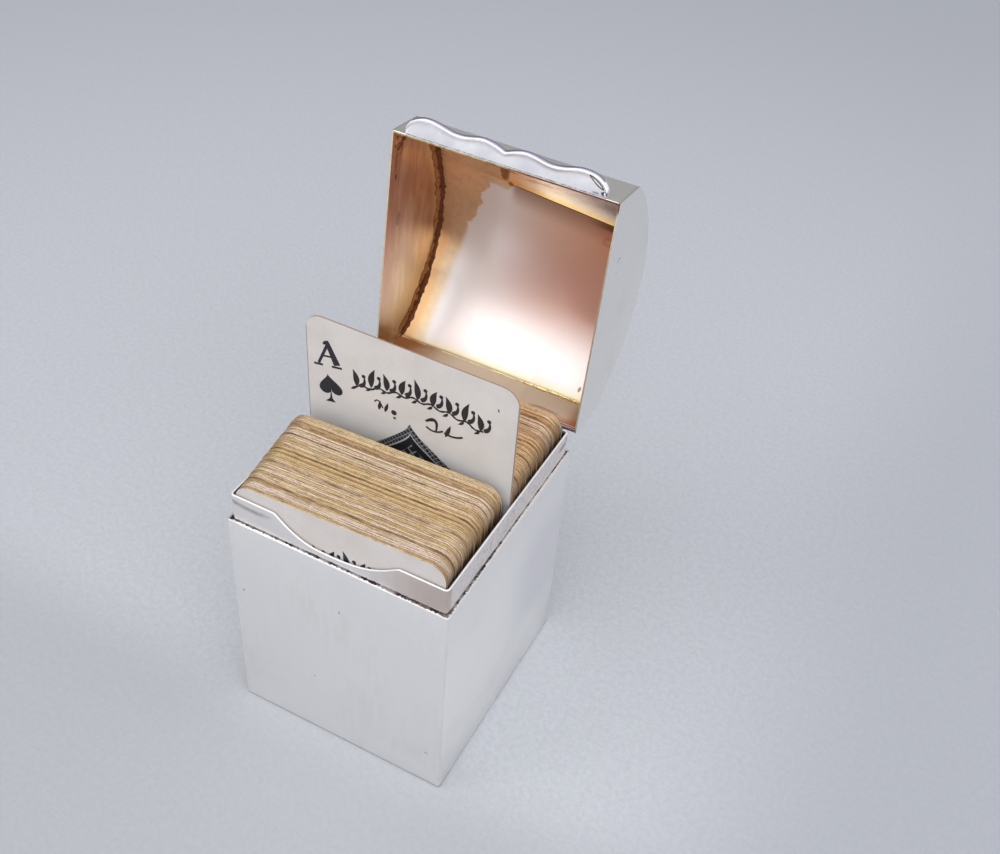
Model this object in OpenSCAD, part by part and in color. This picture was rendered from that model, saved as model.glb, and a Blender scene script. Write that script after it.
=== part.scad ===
// A small silver box made to fit two packs of miniature playing cards.
// Its vaulted lid stands open on a five-knuckle hinge, with one card drawn up between the packs.
// Millimetres. +Z is up, +Y is the hinge side, and the origin is the middle of the underside.

/* [Cards] */
// Width of a card
card_w = 31.65; // [28:0.05:64]
// Height of a card
card_h = 44.45; // [42:0.05:90]
// Thickness of a card
card_t = 0.275; // [0.2:0.005:0.4]
// Corner radius of a card
card_r = 2.6; // [1:0.1:5]
// Air between neighbouring cards, which are never quite flat
card_air = 0.03; // [0.02:0.005:0.1]
// Height that the drawn card stands above its pack
card_raise = 15.9; // [2:0.1:30]
// Greatest difference in height among the cards
card_uneven = 0.24; // [0:0.02:0.5]
// Greatest sideways shift of a card
card_shift = 0.08; // [0:0.01:0.12]

/* [Fit of the packs] */
// Room beside a card, on each side
side_gap = 0.145; // [0.13:0.005:0.8]
// Room between the front pack and the collar
front_gap = 0.2; // [0.1:0.02:0.8]
// Room between the two packs, where the drawn card slides
middle_gap = 1.39; // [0.1:0.01:4]
// Room between the rear pack and the collar
rear_gap = 0.685; // [0.1:0.005:0.9]
// Height of the packs above the step that the lid closes on
pack_show = 7.05; // [4.5:0.05:12]

/* [Case] */
// Outside radius of the upright bends
bend_r = 0.7; // [0.65:0.05:1.5]
// Thickness of the base plate
base_t = 0.5; // [0.3:0.1:1.2]
// Height of the collar above the step
collar_rise = 4.5; // [2:0.05:4.8]
// Length of the collar that is soldered inside the walls
collar_sink = 3.6; // [2:0.2:10]
// Thickness of the collar
collar_t = 0.28; // [0.2:0.02:0.6]
// Width of the finger dip to the left of its lowest point
dip_left = 7.4; // [4:0.2:10]
// Width of the finger dip to the right of its lowest point
dip_right = 11.5; // [6:0.5:13]
// Place of the dip's lowest point, across from the middle
dip_low_x = -2.1; // [-3:0.1:0]
// Depth of the finger dip at its lowest point
dip_depth = 3.4; // [0.5:0.1:3.6]

/* [Lid] */
// Thickness of the lid's sheet
lid_t = 0.3; // [0.24:0.02:0.8]
// Play between the lid and the collar, which the lid's swing needs
lid_play = 0.22; // [0.2:0.01:0.3]
// Height of the lid's straight front and back walls
lid_wall_h = 6.75; // [4:0.05:16]
// Rise of the vault above the straight walls
lid_rise = 9.7; // [6:0.1:16]
// Angle that the lid stands open at
lid_open = 97.2; // [80:0.1:110]
// Running gap between the lid's rim and the step
rim_gap = 0.03; // [0.02:0.01:0.1]

/* [Hinge] */
// Distance from the end of the hinge to the side of the case
hinge_inset = 2.25; // [1:0.05:8]
// Height of the hinge pin above the step
hinge_up = 0.84; // [0.7:0.02:0.86]
// Radius of the hinge pin
pin_r = 0.45; // [0.3:0.05:0.8]
// Running clearance of the pin in the knuckles
pin_play = 0.03; // [0.02:0.01:0.08]
// Wall of the knuckles round the pin
knuckle_wall = 0.64; // [0.4:0.02:1]
// Running gap between knuckles
knuckle_gap = 0.1; // [0.06:0.02:0.3]
// Thickness of the two soldered leaves
leaf_t = 0.4; // [0.2:0.02:0.8]
// Height of each leaf
leaf_h = 3.4; // [3:0.1:6]
// Clearance of a knuckle over the other side's leaf
leaf_play = 0.08; // [0.04:0.01:0.2]
// Overhang of the pin's peened heads round the bore
head_lip = 0.24; // [0.1:0.02:0.4]
// Thickness of the peened heads
head_t = 0.3; // [0.15:0.05:0.5]

/* [Thumbpiece] */
// Distance from the end of the thumbpiece to the side of the lid
thumb_inset = 1.85; // [1:0.05:5]
// Reach of the outer lobes in front of the lid
thumb_outer = 2.95; // [2.4:0.05:5]
// Reach of the inner lobes
thumb_inner = 2.75; // [2.3:0.05:5]
// Reach at the valleys between inner and outer lobes
thumb_valley = 2.2; // [1:0.05:3]
// Reach at the notch in the middle
thumb_notch = 1.95; // [1:0.05:3]
// Thickness of the thumbpiece at its beaded edge
thumb_bead = 0.9; // [0.7:0.05:1.6]
// Thickness of its web behind the bead
thumb_web = 0.6; // [0.3:0.05:0.7]

/* [Hidden] */
$fn = 64;

silver = [0.80, 0.79, 0.76];
bright_silver = [0.88, 0.88, 0.87];
gilt = [0.80, 0.66, 0.42];
card_edge = [0.80, 0.64, 0.36];
card_face = [0.86, 0.86, 0.82];

// Packs: four suits in front, and behind them the drawn ace, the rest of its suit,
// three more suits and a joker
suit_n = 13;
front_n = 4 * suit_n;
rear_n = front_n + 1;
card_pitch = card_t + card_air;
front_depth = front_n * card_pitch - card_air;
rear_depth = rear_n * card_pitch - card_air;

// Case: the collar goes round the packs, and the walls go round the collar.
// The walls are as thick as the lid's sheet and its play together, so that the closed lid
// is flush with them outside.
wall_t = lid_t + lid_play;
mouth_w = card_w + 2 * side_gap;
mouth_d = front_gap + front_depth + middle_gap + rear_depth + rear_gap;
collar_w = mouth_w + 2 * collar_t;
collar_d = mouth_d + 2 * collar_t;
collar_r = bend_r - wall_t;
case_w = collar_w + 2 * wall_t;
case_d = collar_d + 2 * wall_t;
case_h = base_t + card_h - pack_show;
collar_top = case_h + collar_rise;
front_y = -mouth_d / 2 + front_gap;
drawn_y = front_y + front_depth + middle_gap;
rear_y = drawn_y + card_pitch;

// Lid: the vault is one arc through the tops of the front and back walls
rim_z = case_h + rim_gap;
crease_z = rim_z + lid_wall_h;
vault_r = (pow(case_d / 2, 2) + pow(lid_rise, 2)) / (2 * lid_rise);
vault_z = crease_z + lid_rise - vault_r;
// Overlap of the vault's section and the walls' section, so that they join
section_lap = 0.01;

// Hinge: three knuckles on the case and two on the lid
knuckle_n = 5;
knuckle_r = pin_r + pin_play + knuckle_wall;
hinge_out = leaf_t + leaf_play + knuckle_r;
hinge_w = case_w - 2 * hinge_inset;
axis_y = case_d / 2 + hinge_out;
axis_z = case_h + hinge_up;
knuckle_w = (hinge_w - (knuckle_n - 1) * knuckle_gap) / knuckle_n;
leaf_face = leaf_t - hinge_out;
leaf_split = 0.05;
// Where a solder web leaves its knuckle and where it ends in the tube's wall, from +Y towards +Z
web_out_a = 100;
web_in_a = 140;
case_leaf_top = case_h - leaf_split;
lid_leaf_foot = rim_z + leaf_split;

// Thumbpiece: where its lobes and valleys lie, as parts of its half width
thumb_half = case_w / 2 - thumb_inset;
inner_lobe_x = 0.21 * thumb_half;
valley_x = 0.46 * thumb_half;
outer_lobe_x = 0.76 * thumb_half;

// A rectangle in the XY plane whose corners are true arcs
module round_rect(w, d, r) {
    square([w - 2 * r, d], center = true);
    square([w, d - 2 * r], center = true);
    for (x = [-1, 1], y = [-1, 1])
        translate([x * (w / 2 - r), y * (d / 2 - r)]) circle(r);
}

// Turns the XY plane up to face -Y, so that its Y becomes Z
module face_front() {
    rotate([90, 0, 0]) children();
}

// Extrudes an outline drawn in the YZ plane along X, from x0 over a width w
module along_x(x0, w) {
    translate([x0, 0, 0]) rotate([90, 0, 90]) linear_extrude(w) children();
}

// Case

// Walls: one sheet bent round, open above and below
module case_walls() {
    color(silver) linear_extrude(case_h) difference() {
        round_rect(case_w, case_d, bend_r);
        round_rect(collar_w, collar_d, collar_r);
    }
}

// Base plate, let in between the walls
module base_plate() {
    color(silver) linear_extrude(base_t)
        round_rect(collar_w, collar_d, collar_r);
}

// Depth of the finger dip at a share t of the way from its shoulder to its lowest point.
// The shoulder eases in, and a higher fullness makes the side steeper.
function dip_side(t, fullness) = 1 - pow(1 - t * t * 1.05 / (t + 0.05), fullness);
function dip_left_z(t) = collar_top - dip_depth * dip_side(t, 2.2);
function dip_right_z(t) = collar_top - dip_depth * dip_side(t, 3);
dip_steps = 18;
dip_over = 1;

// Outline of the finger dip, seen from the front
module finger_dip() {
    polygon(concat(
        [[dip_low_x - dip_left, collar_top + dip_over]],
        [for (i = [0:dip_steps]) let (t = i / dip_steps) [dip_low_x - dip_left * (1 - t), dip_left_z(t)]],
        [for (i = [1:dip_steps]) let (t = i / dip_steps) [dip_low_x + dip_right * t, dip_right_z(1 - t)]],
        [[dip_low_x + dip_right, collar_top + dip_over]]));
}

// Collar: a thin strip bent round inside the mouth, with a finger dip cut in its front
module collar() {
    color(silver) difference() {
        translate([0, 0, case_h - collar_sink]) linear_extrude(collar_sink + collar_rise) difference() {
            round_rect(collar_w, collar_d, collar_r);
            round_rect(mouth_w, mouth_d, collar_r / 2);
        }
        translate([0, -collar_d / 2 + collar_t + dip_over, 0])
            face_front() linear_extrude(collar_t + 2 * dip_over) finger_dip();
    }
}

// Hinge

// A soldered strip of the hinge, from z0 to z1 at the case's back
module leaf(z0, z1) {
    along_x(-hinge_w / 2, hinge_w)
        translate([axis_y - hinge_out, z0]) square([leaf_t, z1 - z0]);
}

// A point on the knuckle's outside, counted from +Y towards +Z
function on_knuckle(a) = [knuckle_r * cos(a), knuckle_r * sin(a)];

// Solder web from a knuckle to its leaf, from near to far along the leaf, on the side given.
// It runs off the outside of the knuckle, and its inner end lies within the tube's wall.
module knuckle_web(near, far, side) {
    polygon([[leaf_face, near], [leaf_face, far], on_knuckle(side * web_out_a), 0.7 * on_knuckle(side * web_in_a)]);
}

// One knuckle: a bored tube and its web, at place k along the hinge
module knuckle(k, near, far, side) {
    x0 = -hinge_w / 2 + k * (knuckle_w + knuckle_gap);
    color(silver) translate([0, axis_y, axis_z]) along_x(x0, knuckle_w) difference() {
        union() {
            circle(knuckle_r);
            knuckle_web(near, far, side);
        }
        circle(pin_r + pin_play);
    }
}

module case_hinge_leaf() {
    color(silver) leaf(case_leaf_top - leaf_h, case_leaf_top);
}

module case_knuckle(k) {
    knuckle(2 * k, case_leaf_top - axis_z, case_leaf_top - axis_z - leaf_h * 0.5, -1);
}

module lid_knuckle(k) {
    lid_turn() knuckle(2 * k + 1, 0, leaf_h * 0.5, 1);
}

// Hinge pin, with both ends peened over
module hinge_pin() {
    pin_end = hinge_w / 2;
    head_r = pin_r + pin_play + head_lip;
    color(bright_silver) translate([0, axis_y, axis_z]) rotate([0, 90, 0]) {
        translate([0, 0, -pin_end]) cylinder(h = 2 * pin_end, r = pin_r);
        for (s = [-1, 1]) mirror([0, 0, s < 0 ? 1 : 0]) translate([0, 0, pin_end])
            rotate_extrude() polygon([
                [0, 0], [head_r, 0], [head_r, head_t * 0.4], [head_r * 0.7, head_t * 0.85], [0, head_t]]);
    }
}

// Lid

// Stands the closed lid open on its hinge
module lid_turn() {
    translate([0, axis_y, axis_z]) rotate([-lid_open, 0, 0])
        translate([0, -axis_y, -axis_z]) children();
}

// Section of the closed lid in the YZ plane, drawn in by a given amount: walls below, vault above
module lid_section(inset) {
    half = case_d / 2 - inset;
    over = inset > 0 ? 1 : 0;
    translate([-half, rim_z - over]) square([2 * half, crease_z - rim_z + over - inset]);
    intersection() {
        translate([-half, crease_z - inset - section_lap]) square([2 * half, lid_rise + section_lap]);
        translate([0, vault_z]) circle(vault_r - inset, $fn = 256);
    }
}

// Cover: one sheet bent into the front wall, the vault and the back wall
module lid_cover() {
    color(silver) lid_turn() along_x(-case_w / 2 + lid_t, case_w - 2 * lid_t) difference() {
        lid_section(0);
        lid_section(lid_t);
    }
}

// End plates, soldered over the two ends of the cover
module lid_left_end() {
    color(gilt) lid_turn() along_x(-case_w / 2, lid_t) lid_section(0);
}

module lid_right_end() {
    color(gilt) lid_turn() along_x(case_w / 2 - lid_t, lid_t) lid_section(0);
}

module lid_hinge_leaf() {
    color(silver) lid_turn() leaf(lid_leaf_foot, lid_leaf_foot + leaf_h);
}

// Reach of the thumbpiece in front of the lid, at a distance x from its middle:
// a sharp notch, an inner lobe, a valley, an outer lobe and a rounded end
function sway(t) = (1 - cos(180 * t)) / 2;
function thumb_reach(x) =
    x < inner_lobe_x ? thumb_notch + (thumb_inner - thumb_notch) * sin(90 * x / inner_lobe_x)
    : x < valley_x ? thumb_inner
        + (thumb_valley - thumb_inner) * sway((x - inner_lobe_x) / (valley_x - inner_lobe_x))
    : x < outer_lobe_x ? thumb_valley
        + (thumb_outer - thumb_valley) * sway((x - valley_x) / (outer_lobe_x - valley_x))
    : thumb_outer * sqrt(max(0, 1 - pow((x - outer_lobe_x) / (thumb_half - outer_lobe_x), 2.4)));
thumb_steps = 26;
bead_steps = 7;
// The rounded end is cut off square where its reach falls to half the bead
thumb_end = 0.985 * thumb_half;
// Stations from the middle outwards crowd towards the rounded end
function thumb_x(i) = thumb_end * sin(90 * i / thumb_steps);

// Section of the thumbpiece across its edge: flat below, a half-round bead, a thinner web behind
function thumb_section(reach) = let (r = thumb_bead / 2) concat(
    [[0, 0]],
    [for (j = [0:bead_steps]) let (a = -90 + 180 * j / bead_steps)
        [max(reach, 2 * r) - r + r * cos(a), r + r * sin(a)]],
    [[0, thumb_web]]);

// Thumbpiece: a scalloped ledge with a beaded edge, soldered to the lid's front at the rim
module thumbpiece() {
    stations = [for (i = [-thumb_steps:thumb_steps]) sign(i) * thumb_x(abs(i))];
    n = bead_steps + 3;
    last = len(stations) - 1;
    points = [for (x = stations, q = thumb_section(thumb_reach(abs(x))))
        [x, -case_d / 2 - q[0], rim_z + q[1]]];
    sides = [for (i = [0:last - 1], j = [0:n - 1]) let (a = i * n + j, b = i * n + (j + 1) % n)
        each [[a, b, b + n], [a, b + n, a + n]]];
    ends = [[for (j = [n - 1:-1:0]) j], [for (j = [0:n - 1]) last * n + j]];
    color(bright_silver) lid_turn() polyhedron(points, concat(sides, ends), convexity = 6);
}

// Cards

// One card standing on its short edge, its front face at y, lengthened and shifted a little
module card(y, lift = 0, more = 0, shift = 0) {
    translate([shift, y + card_t, base_t + lift + (card_h + more) / 2])
        face_front() linear_extrude(card_t) round_rect(card_w, card_h + more, card_r);
}

// A run of cards from a starting place in a pack, uneven in height as old cut cards are
module cards(y, first, count) {
    color(card_edge) for (i = [first:first + count - 1])
        card(y + i * card_pitch, 0, card_uneven * (sin(i * 83) + sin(i * 211)) / 2 - card_uneven,
             card_shift * sin(i * 137));
}

module drawn_card() {
    color(card_face) card(drawn_y, card_raise);
}

case_walls();
base_plate();
collar();
case_hinge_leaf();
case_knuckle(0);  // case_knuckle_1
case_knuckle(1);  // case_knuckle_2
case_knuckle(2);  // case_knuckle_3
hinge_pin();
lid_cover();
lid_left_end();
lid_right_end();
lid_hinge_leaf();
lid_knuckle(0);  // lid_knuckle_1
lid_knuckle(1);  // lid_knuckle_2
thumbpiece();
drawn_card();
cards(front_y, 0, suit_n);  // front_spades
cards(front_y, suit_n, suit_n);  // front_hearts
cards(front_y, 2 * suit_n, suit_n);  // front_diamonds
cards(front_y, 3 * suit_n, suit_n);  // front_clubs
cards(rear_y, 0, suit_n - 1);  // rear_spades
cards(rear_y, suit_n - 1, suit_n);  // rear_hearts
cards(rear_y, 2 * suit_n - 1, suit_n);  // rear_diamonds
cards(rear_y, 3 * suit_n - 1, suit_n);  // rear_clubs
cards(rear_y, 4 * suit_n - 1, 1);  // rear_joker
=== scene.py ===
from math import asin, cos, pi, radians, sin, sqrt

import bmesh
import bpy
from mathutils import Matrix, Quaternion, Vector, noise


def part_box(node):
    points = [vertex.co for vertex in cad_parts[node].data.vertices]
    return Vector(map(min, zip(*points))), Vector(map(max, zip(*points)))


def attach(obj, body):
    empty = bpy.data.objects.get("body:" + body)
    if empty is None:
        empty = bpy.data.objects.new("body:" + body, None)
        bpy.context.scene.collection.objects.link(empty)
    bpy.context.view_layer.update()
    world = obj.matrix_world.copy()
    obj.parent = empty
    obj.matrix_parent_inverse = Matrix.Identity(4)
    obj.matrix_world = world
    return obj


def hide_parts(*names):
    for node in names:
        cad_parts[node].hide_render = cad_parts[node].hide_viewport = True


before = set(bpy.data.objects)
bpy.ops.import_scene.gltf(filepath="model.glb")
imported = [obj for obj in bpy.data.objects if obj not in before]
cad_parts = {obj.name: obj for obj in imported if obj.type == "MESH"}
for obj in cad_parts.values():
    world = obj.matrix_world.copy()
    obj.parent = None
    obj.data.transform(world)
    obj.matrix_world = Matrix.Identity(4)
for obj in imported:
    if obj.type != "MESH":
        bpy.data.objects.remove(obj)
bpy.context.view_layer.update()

# Camera: stands above the front right corner of the box, where the photograph was taken from.
# Its place, turn and lens come from the box's corners in the photograph, 1000 by 854 pixels.
PHOTO_WIDTH = 1000
FOCAL_LENGTH_PIXELS = 1226.8
SENSOR_MM = 36.0
camera_azimuth = radians(24.212)
camera_elevation = radians(41.906)
camera_roll = radians(4.984)


def in_scene(name, data):
    """An object with its mesh, lamp or lens, put into the scene."""
    made = bpy.data.objects.new(name, data)
    bpy.context.scene.collection.objects.link(made)
    return made


back = Vector((sin(camera_azimuth) * cos(camera_elevation), -cos(camera_azimuth) * cos(camera_elevation),
               sin(camera_elevation)))
level = back.cross(Vector((0, 0, -1))).normalized()
across = Matrix.Rotation(camera_roll, 3, back) @ level
upward = back.cross(across)
camera = in_scene("camera", bpy.data.cameras.new("camera"))
camera.data.sensor_width = SENSOR_MM
camera.data.lens = SENSOR_MM * FOCAL_LENGTH_PIXELS / PHOTO_WIDTH
camera.data.clip_start = 0.01
camera.matrix_world = Matrix((across, upward, back)).transposed().to_4x4()
camera.location = (0.060154, -0.104038, 0.157048)
bpy.context.scene.camera = camera
bpy.context.scene.view_settings.view_transform = "Standard"

# Table: a sheet of pale grey card with a fine mottle, in plain soft light from a wide lamp overhead.
# The world is pale too, so that the silver has something pale to reflect on every side.
MM = 0.001


def sign(operation, swapped=False):
    """The math node that stands behind a sign in a formula."""
    def formula(pattern, other=0.0):
        first, second = (other, pattern) if swapped else (pattern, other)
        return pattern.nodes.node("Math", {0: first, 1: second}, operation=operation)
    return formula


class Pattern:
    """A value that varies from place to place. Each sign in a formula of patterns makes one node."""

    def __init__(self, nodes, socket):
        self.nodes, self.socket = nodes, socket

    __add__ = __radd__ = sign("ADD")
    __sub__ = sign("SUBTRACT")
    __rsub__ = sign("SUBTRACT", swapped=True)
    __mul__ = __rmul__ = sign("MULTIPLY")
    __truediv__ = sign("DIVIDE")
    __pow__ = sign("POWER")
    __abs__ = sign("ABSOLUTE")
    __lt__ = sign("LESS_THAN")
    __gt__ = sign("GREATER_THAN")
    at_least = sign("MAXIMUM")
    at_most = sign("MINIMUM")
    sine = sign("SINE")
    fract = sign("FRACT")

    def fall(self, low, high):
        """Runs from 1 to 0 as the value goes from low to high."""
        return self.span(low, high, 1.0, 0.0)

    def span(self, low, high, start=0.0, end=1.0, kind="SMOOTHSTEP"):
        """Runs from start to end as the value goes from low to high."""
        inputs = {"Value": self, "From Min": low, "From Max": high, "To Min": start, "To Max": end}
        return self.nodes.node("MapRange", inputs, interpolation_type=kind)


class Nodes:
    """A tree of nodes. A kind without Node in its name is one of the shader's."""

    def __init__(self, tree):
        self.tree = tree

    def node(self, kind, inputs, output=0, **settings):
        made = self.tree.nodes.new(kind if "Node" in kind else "ShaderNode" + kind)
        for key, value in settings.items():
            setattr(made, key, value)
        for key, value in inputs.items():
            self.feed(made.inputs[key], value)
        return Pattern(self, made.outputs[output])

    def feed(self, socket, value):
        if isinstance(value, Pattern):
            self.tree.links.new(value.socket, socket)
        else:
            socket.default_value = value

    def apart(self, vector):
        return self.outputs(self.node("SeparateXYZ", {0: vector}))

    def outputs(self, pattern):
        """All that the pattern's node gives."""
        return [Pattern(self, socket) for socket in pattern.socket.node.outputs]


def tone(colour):
    """Makes a colour that was read off a picture, from 0 to 255, linear. A pattern stays as it is."""
    if isinstance(colour, Pattern):
        return colour
    shares = [value / 255 for value in colour]
    return [s / 12.92 if s <= 0.04045 else ((s + 0.055) / 1.055) ** 2.4 for s in shares] + [1.0]


class Finish(Nodes):
    """One finish being mixed. Patterns are laid out in millimetres on the object's own coordinates."""

    def __init__(self, name, colour=(255, 255, 255), **constants):
        self.material = bpy.data.materials.new(name)
        self.material.use_nodes = True
        super().__init__(self.material.node_tree)
        self.colour = colour
        self.lay(**constants)
        metres = self.node("TexCoord", {}, output="Object")
        self.place = self.node("Mapping", {"Vector": metres, "Scale": [1 / MM] * 3})

    def turned(self, turn=(0, 0, 0), shift=(0, 0, 0), stretch=(1, 1, 1)):
        """The place in millimetres, stretched, then turned, then shifted."""
        inputs = {"Vector": self.place, "Rotation": turn, "Location": shift, "Scale": stretch}
        return self.node("Mapping", inputs)

    def stored(self, name):
        """A value that the mesh carries at its points."""
        return self.node("Attribute", {}, output=2, attribute_name=name)

    def cloud(self, size, detail=3.0, roughness=0.55, twist=0.0, vector=None):
        """Soft noise, whose lumps are about size millimetres across."""
        return self.node("TexNoise", {"Vector": vector or self.place, "Scale": 1 / size, "Detail": detail,
                                      "Roughness": roughness, "Distortion": twist})

    def streaks(self, stretch, turn=(0, 0, 0), shift=(0, 0, 0), **look):
        """Noise drawn out into streaks, which are finest where the stretch is greatest."""
        return self.cloud(1.0, vector=self.turned(turn, shift, stretch), **look)

    def specks(self, size, cover):
        """Small round specks, one at most in each cell of the given size."""
        cells = self.node("TexVoronoi", {"Vector": self.place, "Scale": 1 / size})
        distance, shade = self.outputs(cells)[:2]
        chance, radius, _ = self.apart(shade)
        return (chance < cover) * (distance < radius * 0.05)

    def mix(self, share, first, second):
        return self.node("Mix", {0: share, 6: tone(first), 7: tone(second)}, output=2, data_type="RGBA")

    def paint(self, share, colour):
        """Covers a share of the colour so far."""
        self.colour = self.mix(share, self.colour, colour)

    def lay(self, **sockets):
        """Gives the shader the colour so far and the other values."""
        for socket, value in {"Base_Color": tone(self.colour), **sockets}.items():
            self.feed(self.tree.nodes["Principled BSDF"].inputs[socket.replace("_", " ")], value)
        return self.material

    def bump(self, height, depth, under=None):
        """Relief of the given depth in millimetres, laid over another one."""
        inputs = {"Height": height, "Distance": depth * MM}
        if under:
            inputs["Normal"] = under
        return self.node("Bump", inputs)


def card_table():
    finish = Finish("table_card", Roughness=0.85)
    mottle = finish.cloud(0.9, detail=6.0, roughness=0.85).span(0.36, 0.64, kind="LINEAR")
    x, y, _ = finish.apart(finish.place)
    far = (x * x + y * y) ** 0.5
    # Painted light: darker far from the box, a paler pool painted round it, a darker band painted in front
    # of it, paler again far off in front, and darker to the right.
    finish.colour = finish.mix(far.span(70, 330), (199, 201, 207), (169, 172, 178))
    finish.paint(far.fall(20, 95), (207, 210, 215))
    finish.paint(y.fall(-26, -8), (186, 188, 193))
    finish.paint(y.fall(-170, -80), (232, 234, 239))
    finish.paint(x.span(33, 75), (183, 186, 193))
    finish.paint(mottle * 0.42, (164, 168, 176))
    return finish.lay()


TABLE_HALF = 1.6
table_mesh = bpy.data.meshes.new("table")
table_corners = [(x * TABLE_HALF, y * TABLE_HALF, 0) for x, y in ((-1, -1), (1, -1), (1, 1), (-1, 1))]
table_mesh.from_pydata(table_corners, [], [(0, 1, 2, 3)])
table_mesh.materials.append(card_table())
table = in_scene("table", table_mesh)

world = bpy.data.worlds.new("pale_room")
world.use_nodes = True
room = Nodes(world.node_tree)
direction = room.node("TexCoord", {}, output="Generated")
WINDOW = Vector((0.5, -0.52, 0.69)).normalized()
window = room.node("VectorMath", {0: direction, 1: WINDOW}, output="Value", operation="DOT_PRODUCT")
right, rear, high = room.apart(direction)
room_light = right.span(-1.0, 1.0, -0.23, 0.355, "LINEAR") + rear.span(-0.4, 0.8, 0.67, 0.22, "LINEAR")
room_light += high.span(0.0, 1.0, 0.0, 0.2, "LINEAR") + high.span(0.72, 0.97, 0.0, 0.3)
room_light += window.span(0.77, 0.96, 0.0, 1.05)
background = room.tree.nodes["Background"]
room.feed(background.inputs["Strength"], room_light)
room.feed(background.inputs["Color"], (0.97, 0.975, 1.0, 1.0))
bpy.context.scene.world = world

# Lamp: one tall diffuser, high at the front left. It gives a small share of the light, and its long
# reflection is the bright patch low in the lid.
lamp = in_scene("tall_lamp", bpy.data.lights.new("tall_lamp", "AREA"))
lamp.data.shape = "RECTANGLE"
lamp.data.size, lamp.data.size_y = 0.33, 0.7
lamp.data.energy = 1.45
lamp.data.color = (1.0, 0.985, 0.97)
lamp.location = (-0.36, -0.41, 0.78)
facing = (lamp.location - Vector((0, 0.02, 0.05))).to_track_quat("Z", "Y")
lamp.location += facing @ Vector((-0.1, -0.06, 0))
lamp.rotation_euler = (facing @ Quaternion((0, 0, 1), radians(21))).to_euler()

# Case walls: one sheet of silver bent round into a square tube, with its ends butted and soldered.
# Its top edge is the bright step that the lid closes on, and the collar's solder has gone black there.
WALL_HALF_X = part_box("case_walls")[1].x / MM
WALL_HALF_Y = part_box("case_walls")[1].y / MM
STEP_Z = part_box("case_walls")[1].z / MM
COLLAR_HALF_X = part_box("collar")[1].x / MM
COLLAR_HALF_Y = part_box("collar")[1].y / MM
COLLAR_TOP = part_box("collar")[1].z / MM
WALL = WALL_HALF_X - COLLAR_HALF_X
BEND = 0.4


def solid_mesh(name, points, faces, sharp):
    """A mesh from points in millimetres, with outward faces, crisp where it turns by more than sharp."""
    mesh = bpy.data.meshes.new(name)
    mesh.from_pydata([Vector(p) * MM for p in points], [], faces)
    work = bmesh.new()
    work.from_mesh(mesh)
    bmesh.ops.recalc_face_normals(work, faces=work.faces)
    work.to_mesh(mesh)
    work.free()
    mesh.shade_smooth()
    mesh.set_sharp_from_angle(angle=radians(sharp))
    return mesh


def piece(name, points, faces, finishes, body, sharp=35, choose=None):
    """Makes a piece that rides on a body. Where it has several finishes, choose gives each face's."""
    mesh = solid_mesh(name, points, faces, sharp)
    for finish in finishes:
        mesh.materials.append(finish)
    if choose:
        for face in mesh.polygons:
            face.material_index = choose(face.center / MM, face.normal)
    made = in_scene(name, mesh)
    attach(made, body)
    return made


def grid_faces(rows, columns, close_rows=False):
    """Four-sided faces over points that are listed row by row, each row being a ring."""
    faces = []
    for row in range(rows if close_rows else rows - 1):
        for column in range(columns):
            after = (column + 1) % columns
            below = (row + 1) % rows
            faces.append((row * columns + column, row * columns + after, below * columns + after,
                          below * columns + column))
    return faces


def tube_faces(rows, columns):
    """Faces of a closed tube, with its two ends."""
    ends = [tuple(range(first, first + columns)) for first in (0, (rows - 1) * columns)]
    return grid_faces(rows, columns) + ends


def round_the_box(half_x, half_y, bend, cuts=24, corner_cuts=9):
    """Points round an upright bent sheet, seen from above, each with the direction that faces outwards."""
    stations = []
    for side in range(4):
        out = Vector((sin(side * pi / 2), -cos(side * pi / 2), 0))
        along = Vector((cos(side * pi / 2), sin(side * pi / 2), 0))
        reach = half_y if side % 2 == 0 else half_x
        half = (half_x if side % 2 == 0 else half_y) - bend
        for i in range(cuts + 1):
            stations.append((out * reach + along * half * (2 * i / cuts - 1), out))
        middle = out * (reach - bend) + along * half
        for i in range(1, corner_cuts):
            angle = i / corner_cuts * pi / 2
            direction = out * cos(angle) + along * sin(angle)
            stations.append((middle + direction * bend, direction))
    return stations


def bent_sheet(stations, section):
    """Points of a sheet that follows the stations. The section lists (depth from outside, height)."""
    points = []
    for place, out in stations:
        for depth, height in section(place):
            points.append(place - out * depth + Vector((0, 0, height)))
    return points


def silver(name, light=(250, 248, 244), soil=(196, 188, 182), gloss=0.3, wear=1.0):
    """Old table silver: a satin grey with wiped patches, hair scratches and a few pinholes."""
    finish = Finish(name, Metallic=1.0)
    broad = finish.cloud(14.0, detail=4.0, twist=0.6)
    wiped = finish.streaks((0.9, 0.12, 0.16), turn=(0.3, 0.5, 0.2), detail=5.0)
    hair = finish.streaks((9.0, 0.25, 0.4), turn=(0.1, 1.1, 0.7), detail=2.0)
    grain = finish.cloud(0.22, roughness=0.7)
    smear = broad.span(0.42, 0.7) * wiped.span(0.35, 0.65)
    pins = finish.specks(2.3, 0.1)
    finish.colour = finish.mix(smear * (0.12 * wear), light, soil)
    finish.paint(pins * 0.75, (74, 66, 62))
    finish.rough = broad.span(0.3, 0.7, gloss, gloss + 0.1) + hair.span(0.55, 0.75, 0.0, 0.06)
    finish.lay(Roughness=finish.rough, Normal=finish.bump(hair * 0.5 + grain * 0.5, 0.004))
    return finish


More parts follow.
